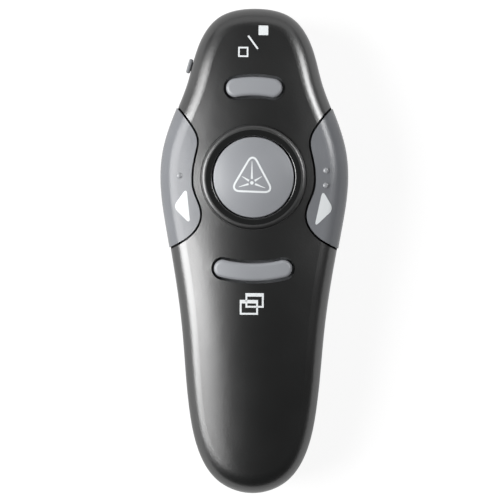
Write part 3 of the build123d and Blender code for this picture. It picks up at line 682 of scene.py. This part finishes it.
@dataclass(frozen=True)
class PadPrinter:
    """Draws flat pictures in mm and makes them a film of ink on a curved surface.

    Attributes:
        film_mm: how far the ink stands on the surface.
        root_mm: how far it reaches into the surface, so that no gap shows.
        pitch_mm: longest side of a face before it is laid on the curved surface.
        passes: how often longer sides are split.
        corner_steps: number of segments of a rounded corner.
        disc_steps: number of segments of a disc.
    """

    film_mm: float = 0.03
    root_mm: float = 0.05
    pitch_mm: float = 0.8
    passes: int = 4
    corner_steps: int = 8
    disc_steps: int = 20

    def polygon(self, shape: Shape, corners: list[Point], rounding: float = 0.0) -> list[Face]:
        """Add a flat polygon with rounded corners.

        Args:
            shape: the bmesh that gets it.
            corners: x and y of each corner in mm, anticlockwise.
            rounding: how far from each corner the rounding starts, in mm.

        Returns:
            The polygon's face, in a list.
        """
        before = set(shape.faces)
        points = [shape.verts.new((x * MM, y * MM, 0)) for x, y in corners]
        shape.faces.new(points)
        if rounding:
            bmesh.ops.bevel(
                shape, geom=points, offset=rounding * MM, offset_type="OFFSET",
                segments=self.corner_steps, profile=0.5, affect="VERTICES", material=-1,
            )
        shape.normal_update()
        return [face for face in shape.faces if face not in before]

    def outline(
        self, shape: Shape, corners: list[Point], stroke: float, rounding: float = 0.0
    ) -> None:
        """Add a polygon drawn as a line of one width.

        Args:
            shape: the bmesh that gets it.
            corners: the outer corners in mm, anticlockwise.
            stroke: the line's width in mm.
            rounding: rounding of the outer corners in mm.
        """
        inner = self.polygon(shape, corners, rounding)
        bmesh.ops.inset_region(
            shape, faces=inner, thickness=stroke * MM, use_boundary=True, use_even_offset=True
        )
        bmesh.ops.delete(shape, geom=inner, context="FACES_ONLY")

    def bar(
        self, shape: Shape, start: Point, end: Point, widths: Point, rounding: float = 0.0
    ) -> None:
        """Add a straight bar that may taper.

        Args:
            shape: the bmesh that gets it.
            start: x and y of its start in mm.
            end: x and y of its end in mm.
            widths: its width at the start and at the end in mm.
            rounding: rounding of its corners in mm.
        """
        first, last = Vector(start), Vector(end)
        along = (last - first).normalized()
        side = Vector((-along.y, along.x))
        corners = [
            first - side * widths[0] / 2, last - side * widths[1] / 2,
            last + side * widths[1] / 2, first + side * widths[0] / 2,
        ]
        self.polygon(shape, [tuple(corner) for corner in corners], rounding)

    def disc(self, shape: Shape, centre: Point, radius: float) -> None:
        """Add a round dot.

        Args:
            shape: the bmesh that gets it.
            centre: x and y of its middle in mm.
            radius: its radius in mm.
        """
        bmesh.ops.create_circle(
            shape, cap_ends=True, segments=self.disc_steps, radius=radius * MM,
            matrix=Matrix.Translation((centre[0] * MM, centre[1] * MM, 0)),
        )

    def rectangle(
        self, shape: Shape, centre: Point, width: float, height: float, stroke: float = 0.0
    ) -> None:
        """Add an upright rectangle, filled or drawn as a line.

        Args:
            shape: the bmesh that gets it.
            centre: x and y of its middle in mm.
            width: its size along x in mm.
            height: its size along y in mm.
            stroke: the line's width in mm, or 0 to fill the rectangle.
        """
        x, y = centre
        corners = [
            (x - width / 2, y - height / 2), (x + width / 2, y - height / 2),
            (x + width / 2, y + height / 2), (x - width / 2, y + height / 2),
        ]
        if stroke:
            self.outline(shape, corners, stroke)
        else:
            self.polygon(shape, corners)

    def lay(self, shape: Shape, group: "SubAssembly", node: str, side: Side = Side.TOP) -> Shape:
        """Lay flat shapes on a CAD node and give the ink its thickness.

        Args:
            shape: flat faces at z = 0.
            group: the sub-assembly of the node.
            node: the CAD node that carries the print.
            side: the side of the node that gets it.

        Returns:
            The same bmesh, now a thin closed film on the surface.
        """
        stray = [edge for edge in shape.edges if not edge.link_faces]
        bmesh.ops.delete(shape, geom=stray, context="EDGES")
        bmesh.ops.triangulate(shape, faces=shape.faces[:])
        for _ in range(self.passes):
            longs = [edge for edge in shape.edges if edge.calc_length() > self.pitch_mm * MM]
            if longs:
                bmesh.ops.subdivide_edges(shape, edges=longs, cuts=1, use_grid_fill=True)
                bmesh.ops.triangulate(shape, faces=shape.faces[:])
        shape.normal_update()
        turned = [face for face in shape.faces if face.normal.z * side.value < 0]
        bmesh.ops.reverse_faces(shape, faces=turned)
        heights = group.surface_z(node, [(vert.co.x, vert.co.y) for vert in shape.verts], side)
        for vert, height in zip(shape.verts, heights):
            vert.co.z = height - side.value * self.root_mm * MM
        grown = bmesh.ops.extrude_face_region(shape, geom=shape.faces[:], use_keep_orig=True)
        outer = [item for item in grown["geom"] if isinstance(item, Vertex)]
        rise = side.value * (self.film_mm + self.root_mm) * MM
        bmesh.ops.translate(shape, verts=outer, vec=(0, 0, rise))
        bmesh.ops.recalc_face_normals(shape, faces=shape.faces[:])
        return shape


@dataclass
class SubAssembly:
    """A group of CAD nodes that are dressed together, with the small pieces that go on them.

    Attributes:
        finishes: the finish of each CAD node in the group.
        printer: the pad printer for the signs on its pieces.
    """

    finishes: ClassVar[dict[str, Finish]] = {}
    frame: dict
    printer: PadPrinter = PadPrinter()

    def dress(self) -> None:
        """Give every CAD node of the group its finish."""
        for name, finish in self.finishes.items():
            mesh = self.frame["nodes"][name].data
            mesh.materials.clear()
            mesh.materials.append(finish.material())
            log.info("%s: %s", name, finish.name)

    def add_piece(self, name: str, shape: Shape, finish: Finish, body: str) -> None:
        """Make an object of a finished bmesh and let it ride on its body.

        Args:
            name: the piece's name.
            shape: its mesh, in place, in metres; it is freed.
            finish: its finish.
            body: the CAD body that carries it.
        """
        mesh = bpy.data.meshes.new(name)
        shape.to_mesh(mesh)
        shape.free()
        mesh.materials.append(finish.material())
        piece = bpy.data.objects.new(name, mesh)
        bpy.context.scene.collection.objects.link(piece)
        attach(piece, body)
        log.info("%s: %d faces, %s", name, len(mesh.polygons), finish.name)

    def surface_z(self, node: str, places: list[Point], side: Side = Side.TOP) -> list[float]:
        """Height of a CAD node's outer surface.

        Args:
            node: the CAD node.
            places: x and y of each place in metres.
            side: the side to look at.

        Returns:
            The height at each place in metres.
        """
        under = bmesh.new()
        under.from_mesh(self.frame["nodes"][node].data)
        tree = BVHTree.FromBMesh(under)
        inward = Vector((0, 0, -side.value))
        heights = [tree.ray_cast(Vector((x, y, side.value)), inward)[0].z for x, y in places]
        under.free()
        return heights

    def build(self) -> None:
        """Dress the group. A group with pieces of its own adds them after this."""
        self.dress()


@dataclass
class Case(SubAssembly):
    """Upper and lower shell and battery door, with the two pictures printed on the upper shell.

    Attributes:
        full_screen: centre, width and height of the filled screen, in mm.
        empty_screen: the same of the screen drawn in outline.
        slash: start and end of the stroke between the screens, and its width.
        windows: centre, width and height of the two windows of the slideshow picture.
        slash_rounding: rounding of the stroke's corners.
        screen_stroke: line width of the empty screen.
        window_stroke: line width of the windows.
        title_drop: distance from a window's top to the middle of its title bar.
    """

    finishes = {
        "upper_shell": BLACK_ABS, "lower_shell": BLACK_ABS, "battery_door": BARE_BLACK_ABS,
    }
    full_screen: tuple = ((1.88, 47.8), 2.08, 2.08)
    empty_screen: tuple = ((-2.44, 43.1), 2.2, 2.2)
    slash: tuple = ((-1.4, 46.62), (0.72, 43.75), 0.38)
    windows: tuple = (((-0.84, -12.1), 3.95, 3.2), ((0.38, -10.6), 3.95, 3.15))
    slash_rounding: float = 0.1
    screen_stroke: float = 0.34
    window_stroke: float = 0.4
    title_drop: float = 0.55

    def blank_screen(self) -> Shape:
        """A full and an empty screen, with a slash between them.

        Returns:
            The flat picture.
        """
        shape = bmesh.new()
        start, end, width = self.slash
        self.printer.rectangle(shape, *self.full_screen)
        self.printer.bar(shape, start, end, (width, width), self.slash_rounding)
        self.printer.rectangle(shape, *self.empty_screen, self.screen_stroke)
        return shape

    def slideshow(self) -> Shape:
        """Two windows, one over the other, each with a title bar.

        Returns:
            The flat picture.
        """
        shape = bmesh.new()
        stroke = self.window_stroke
        for (x, y), width, height in self.windows:
            self.printer.rectangle(shape, (x, y), width, height, stroke)
            title = (x, y + height / 2 - self.title_drop)
            self.printer.rectangle(shape, title, width - 2 * stroke, stroke)
        return shape

    def build(self) -> None:
        """Dress the shells and the door and print the two pictures."""
        self.dress()
        pictures = {"blank_screen_print": self.blank_screen(), "slideshow_print": self.slideshow()}
        for name, picture in pictures.items():
            self.add_piece(name, self.printer.lay(picture, self, "upper_shell"), INK, "case")


@dataclass
class Controls(SubAssembly):
    """Grey buttons and keys, their pictures, and the polished domes on the keys.

    Attributes:
        triangle: outer corners of the triangle on the laser button, in mm.
        triangle_stroke: its line width.
        triangle_rounding: its rounding.
        spot: centre of the dot that the rays leave from.
        spot_radius: the dot's radius.
        rays: start and end of each ray.
        ray_widths: width of a ray at its start and end.
        back_arrow: corners of the arrow on the left key.
        next_arrow: corners of the arrow on the right key.
        arrow_rounding: rounding of both.
        dome_places: the key, and x and y of each dome on it.
        dome_radius: radius of a dome in plan.
        dome_height: height of a dome.
        dome_sink: how far its equator lies under the tip of the key's raised dot.
        dome_steps: number of its segments round and over.
    """

    finishes = {
        "laser_button": GREY_ABS, "blank_screen_button": GREY_ABS, "slideshow_button": GREY_ABS,
        "previous_key": KEY_ABS, "next_key": KEY_ABS,
    }
    triangle: tuple = ((-0.18, 21.65), (-5.3, 12.85), (4.7, 12.55))
    triangle_stroke: float = 0.42
    triangle_rounding: float = 2.3
    spot: Point = (-0.34, 14.8)
    spot_radius: float = 0.38
    rays: tuple = (
        ((-0.34, 15.65), (-0.34, 19.5)), ((-0.95, 15.25), (-2.5, 16.2)),
        ((0.27, 15.25), (1.8, 16.2)), ((-1.05, 14.55), (-3.2, 13.9)), ((0.35, 14.55), (2.55, 13.7)),
    )
    ray_widths: Point = (0.46, 0.1)
    back_arrow: tuple = ((-14.5, 13.65), (-17.4, 9.5), (-13.65, 5.8))
    next_arrow: tuple = ((14.9, 13.35), (13.2, 5.3), (17.3, 9.2))
    arrow_rounding: float = 1.2
    dome_places: tuple = (
        ("previous_key", ((-16.0, 16.25),)), ("next_key", ((15.6, 17.55), (15.55, 14.35))),
    )
    dome_radius: float = 0.62
    dome_height: float = 0.36
    dome_sink: float = 0.3
    dome_steps: tuple[int, int] = (24, 12)

    def laser(self) -> Shape:
        """Five rays from a dot, in a rounded triangle.

        Returns:
            The flat picture.
        """
        shape = bmesh.new()
        self.printer.outline(shape, self.triangle, self.triangle_stroke, self.triangle_rounding)
        self.printer.disc(shape, self.spot, self.spot_radius)
        for start, end in self.rays:
            self.printer.bar(shape, start, end, self.ray_widths)
        return shape

    def arrow(self, corners: list[Point]) -> Shape:
        """A filled triangle with rounded corners.

        Args:
            corners: the triangle's corners in mm, anticlockwise.

        Returns:
            The flat triangle.
        """
        shape = bmesh.new()
        self.printer.polygon(shape, corners, self.arrow_rounding)
        return shape

    def domes(self, node: str, places: tuple) -> Shape:
        """Low domes over the raised dots of a key.

        Args:
            node: the key.
            places: x and y of each dome in mm.

        Returns:
            The domes in one bmesh.
        """
        shape = bmesh.new()
        spots = [(x * MM, y * MM) for x, y in places]
        flat = Matrix.Diagonal((1, 1, self.dome_height / self.dome_radius, 1))
        round_steps, over_steps = self.dome_steps
        for (x, y), z in zip(spots, self.surface_z(node, spots)):
            bmesh.ops.create_uvsphere(
                shape, u_segments=round_steps, v_segments=over_steps, radius=self.dome_radius * MM,
                matrix=Matrix.Translation((x, y, z - self.dome_sink * MM)) @ flat,
            )
        for face in shape.faces:
            face.smooth = True
        return shape

    def build(self) -> None:
        """Dress the caps, print the pictures and set the domes."""
        self.dress()
        prints = (
            ("laser_print", self.laser(), "laser_button", "laser_control"),
            ("previous_key_print", self.arrow(self.back_arrow), "previous_key", "previous_control"),
            ("next_key_print", self.arrow(self.next_arrow), "next_key", "next_control"),
        )
        for name, picture, node, body in prints:
            self.add_piece(name, self.printer.lay(picture, self, node), INK, body)
        for node, places in self.dome_places:
            body = node.replace("_key", "_control")
            self.add_piece(node + "_domes", self.domes(node, places), POLISHED_ABS, body)


class PowerSlide(SubAssembly):
    """Slide at the left shoulder and the switch that it moves."""

    finishes = {
        "power_knob": SLIDE_ABS, "power_switch_lever": ACETAL, "power_switch_body": SHEET,
    }


# The stem of each push switch stands on the axis that its legs are placed from.
SWITCH_STEMS = (
    "laser_switch_stem", "blank_screen_switch_stem", "slideshow_switch_stem",
    "previous_key_switch_stem", "next_key_switch_stem",
)


@dataclass
class ControlBoard(SubAssembly):
    """Circuit board with its push switches, chip and antenna, and the solder on the switches' legs.

    Attributes:
        leg_mm: distance of a switch's legs from its axis along x and y.
        foot_mm: radius of a solder joint on the board.
        tip_mm: its radius where the solder ends on the leg.
        rise_mm: its height.
        waist_share: how far its side is drawn in half-way up, as a share of a straight cone.
        joint_steps: number of segments round a joint.
    """

    finishes = {
        "circuit_board": LAMINATE, "radio_chip": COMPOUND, "crystal": SHEET,
        "board_passives": CERAMIC, "antenna_trace": GOLD, "tact_switch_bases": NYLON,
        "tact_switch_covers": SHEET,
    } | dict.fromkeys(SWITCH_STEMS, ACETAL)
    leg_mm: Point = (3.15, 2.2)
    foot_mm: float = 0.55
    tip_mm: float = 0.22
    rise_mm: float = 0.5
    waist_share: float = 0.75
    joint_steps: int = 14

    def solder(self) -> Shape:
        """Four joints round each switch: cones whose side is drawn in, as molten solder wets a leg.

        Returns:
            The joints in one bmesh.
        """
        shape = bmesh.new()
        rise = self.rise_mm * MM
        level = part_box("circuit_board")[1][2] + rise / 2
        for stem in SWITCH_STEMS:
            low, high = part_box(stem)
            x, y = (low[0] + high[0]) / 2, (low[1] + high[1]) / 2
            for across, along in product((-1, 1), repeat=2):
                place = Vector(
                    (x + across * self.leg_mm[0] * MM, y + along * self.leg_mm[1] * MM, level)
                )
                cone = bmesh.ops.create_cone(
                    shape, cap_ends=True, segments=self.joint_steps, radius1=self.foot_mm * MM,
                    radius2=self.tip_mm * MM, depth=rise, matrix=Matrix.Translation(place),
                )
                self.draw_in(shape, cone["verts"], place)
        for face in shape.faces:
            face.smooth = len(face.verts) == 4
        return shape

    def draw_in(self, shape: Shape, cone: list[Vertex], centre: Vector) -> None:
        """Split the side of a cone half-way up and draw it in there.

        Args:
            shape: the bmesh with the cone.
            cone: the cone's vertices.
            centre: the cone's middle.
        """
        steep = self.rise_mm * MM / 2
        sides = [
            edge for edge in shape.edges
            if edge.verts[0] in cone and abs(edge.verts[0].co.z - edge.verts[1].co.z) > steep
        ]
        made = bmesh.ops.subdivide_edges(shape, edges=sides, cuts=1)
        bmesh.ops.scale(
            shape, verts=[item for item in made["geom_inner"] if isinstance(item, Vertex)],
            vec=(self.waist_share, self.waist_share, 1), space=Matrix.Translation(-centre),
        )

    def build(self) -> None:
        """Dress the board and add the solder."""
        self.dress()
        self.add_piece("switch_solder", self.solder(), SOLDER, "case")


class LaserModule(SubAssembly):
    """Laser barrel behind its window, with its driver board and leads."""

    finishes = {
        "laser_window": ACRYLIC, "laser_barrel": BRASS, "laser_lens": LENS,
        "laser_driver_board": LAMINATE, "laser_leads": LEAD_SKIN,
    }


@dataclass
class BatteryBay(SubAssembly):
    """Two cells with their contacts, and the plus sign printed on each cell.

    Attributes:
        sign_mm: length of a sign's arms, and their width.
        inset_mm: distance of a sign from the cell's positive end.
    """

    finishes = {
        "battery_sleeves": SLEEVE, "battery_terminals": NICKEL, "contact_springs": NICKEL,
        "positive_contact": NICKEL, "negative_contact": NICKEL, "bridge_contact": NICKEL,
    }
    sign_mm: Point = (2.6, 0.6)
    inset_mm: float = 5.0

    def signs(self) -> Shape:
        """A plus sign near the positive end of each cell, one cell the other way round.

        Returns:
            The flat signs.
        """
        shape = bmesh.new()
        low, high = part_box("battery_sleeves")
        length, width = self.sign_mm
        left, right = (low[0] * 3 + high[0]) / 4 / MM, (low[0] + high[0] * 3) / 4 / MM
        tail, front = low[1] / MM + self.inset_mm, high[1] / MM - self.inset_mm
        for x, y in ((left, front), (right, tail)):
            self.printer.rectangle(shape, (x, y), length, width)
            for way in (-1, 1):
                middle = (x, y + way * (length + width) / 4)
                self.printer.rectangle(shape, middle, width, (length - width) / 2)
        return shape

    def build(self) -> None:
        """Dress the cells and contacts and print the signs on the side that the open bay shows."""
        self.dress()
        picture = self.printer.lay(self.signs(), self, "battery_sleeves", Side.BELLY)
        self.add_piece("cell_sign_print", picture, SLEEVE_INK, "case")


class Receiver(SubAssembly):
    """Stowed USB receiver."""

    finishes = {
        "receiver_grip": BARE_BLACK_ABS, "receiver_plug_shell": PLUG_SHEET,
        "receiver_tongue": POLYMER, "receiver_contacts": GOLD,
    }


class Fasteners(SubAssembly):
    """Screws of the case and of the board."""

    finishes = {
        "case_screws": BLACKENED, "board_screws": ZINC,
    }


# ---------------------------------------------------------------- studio
@dataclass(frozen=True)
class Softbox:
    """A lamp that faces the object.

    Attributes:
        name: the lamp's name.
        zenith_deg: its angle from straight up.
        azimuth_deg: its direction in the plan, from +X towards +Y.
        distance: its distance from the object in metres.
        size: its width and height in metres.
        level: brightness of its face, where 1 is a white surface in full light.
        roll_deg: its turn about the line to the object.
    """

    name: str
    zenith_deg: float
    azimuth_deg: float
    distance: float
    size: Point
    level: float
    roll_deg: float = 0.0

    def build(self) -> None:
        """Hang the lamp."""
        data = bpy.data.lights.new(self.name, "AREA")
        data.shape = "RECTANGLE"
        data.size, data.size_y = self.size
        data.energy = FACE_POWER * self.level * self.size[0] * self.size[1]
        lamp = bpy.data.objects.new(self.name, data)
        zenith, azimuth = math.radians(self.zenith_deg), math.radians(self.azimuth_deg)
        out = math.sin(zenith)
        lamp.location = self.distance * Vector(
            (out * math.cos(azimuth), out * math.sin(azimuth), math.cos(zenith))
        )
        facing = (-lamp.location).to_track_quat("-Z", "Y").to_matrix()
        roll = Matrix.Rotation(math.radians(self.roll_deg), 3, "Z")
        lamp.rotation_euler = (facing @ roll).to_euler()
        bpy.context.scene.collection.objects.link(lamp)


@dataclass
class Studio:
    """Camera, lamps and paper.

    Attributes:
        view_mm: width of what the camera sees at the level of the case's seam.
        centre_mm: the point of the case under the middle of the picture.
        aside: how far the camera stands to the right of that point and past it towards the nose.
        roll_deg: turn of the camera about its own axis.
        distance: height of the camera above the seam.
        seam_mm: level of the case's seam.
        sensor_mm: width of the camera's sensor.
        room: level of the light from all round.
        paper_half: half the side of the sheet of paper.
        paper_drop_mm: how far it lies under the object, so that the two share no plane.
        lamps: a big softbox low on the left, a small one on the right, two cards at the nose
            and one under the belly.
    """

    view_mm: float = 108.47
    centre_mm: Point = (-0.99, 0.5)
    aside: Point = (0.045, 0.02)
    roll_deg: float = 0.37
    distance: float = 3.0
    seam_mm: float = 11.0
    sensor_mm: float = 36.0
    room: float = 0.035
    paper_half: float = 3.0
    paper_drop_mm: float = 0.3
    lamps: tuple[Softbox, ...] = (
        Softbox("left_softbox", 53, 181, 0.9, (0.72, 0.76), 6.2, 6),
        Softbox("right_softbox", 53, 21, 0.85, (0.32, 0.28), 9.0),
        Softbox("nose_card", 69, 90, 1.2, (2.4, 0.7), 0.45),
        Softbox("nose_fill", 50, 90, 1.2, (1.8, 0.5), 0.06),
        Softbox("belly_card", 150, 250, 1.2, (1.0, 1.0), 2.2),
    )

    def camera(self) -> None:
        """Place the camera nearly straight above the case."""
        data = bpy.data.cameras.new("camera")
        data.sensor_width = self.sensor_mm
        data.lens = self.sensor_mm * self.distance / (self.view_mm * MM)
        eye = bpy.data.objects.new("camera", data)
        x, y = (value * MM for value in self.centre_mm)
        across, along = self.aside
        eye.location = (x + across, y + along, self.seam_mm * MM + self.distance)
        tip, lean = math.atan2(along, self.distance), math.atan2(across, self.distance)
        eye.rotation_euler = Euler((-tip, lean, math.radians(self.roll_deg)))
        bpy.context.scene.collection.objects.link(eye)
        bpy.context.scene.camera = eye

    def paper(self) -> None:
        """Lay the white paper under the object."""
        sheet = bmesh.new()
        bmesh.ops.create_grid(
            sheet, x_segments=4, y_segments=4, size=self.paper_half,
            matrix=Matrix.Translation((0, 0, -self.paper_drop_mm * MM)),
        )
        mesh = bpy.data.meshes.new("studio_paper")
        sheet.to_mesh(mesh)
        sheet.free()
        mesh.materials.append(PAPER.material())
        floor = bpy.data.objects.new("studio_paper", mesh)
        bpy.context.scene.collection.objects.link(floor)

    def world(self) -> None:
        """Dim room light, white where the camera looks past the paper."""
        world = bpy.data.worlds.new("room")
        world.use_nodes = True
        tree = world.node_tree
        tree.nodes.clear()
        seen = add_node(tree, "LightPath").outputs["Is Camera Ray"]
        level = add_node(tree, "MapRange", {"Value": seen, 3: self.room, 4: 1.0})
        light = add_node(tree, "Background", {"Color": (1, 1, 1, 1), "Strength": level})
        add_node(tree, "OutputWorld", {"Surface": light})
        bpy.context.scene.world = world

    def build(self) -> None:
        """Set up camera, paper, room and lamps."""
        self.camera()
        self.paper()
        self.world()
        for lamp in self.lamps:
            lamp.build()
            log.info("%s: level %.1f", lamp.name, lamp.level)
        bpy.context.scene.view_settings.view_transform = "Standard"


def main() -> None:
    """Load the frame, dress every piece and set the studio."""
    logging.basicConfig(level=logging.INFO, format="%(name)s: %(message)s")
    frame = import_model()

    groups = (
        Case, Controls, PowerSlide, ControlBoard, LaserModule, BatteryBay, Receiver, Fasteners,
    )
    for group in groups:
        log.info("%s", group.__name__)
        group(frame).build()
    Studio().build()


if __name__ == "__main__":
    main()
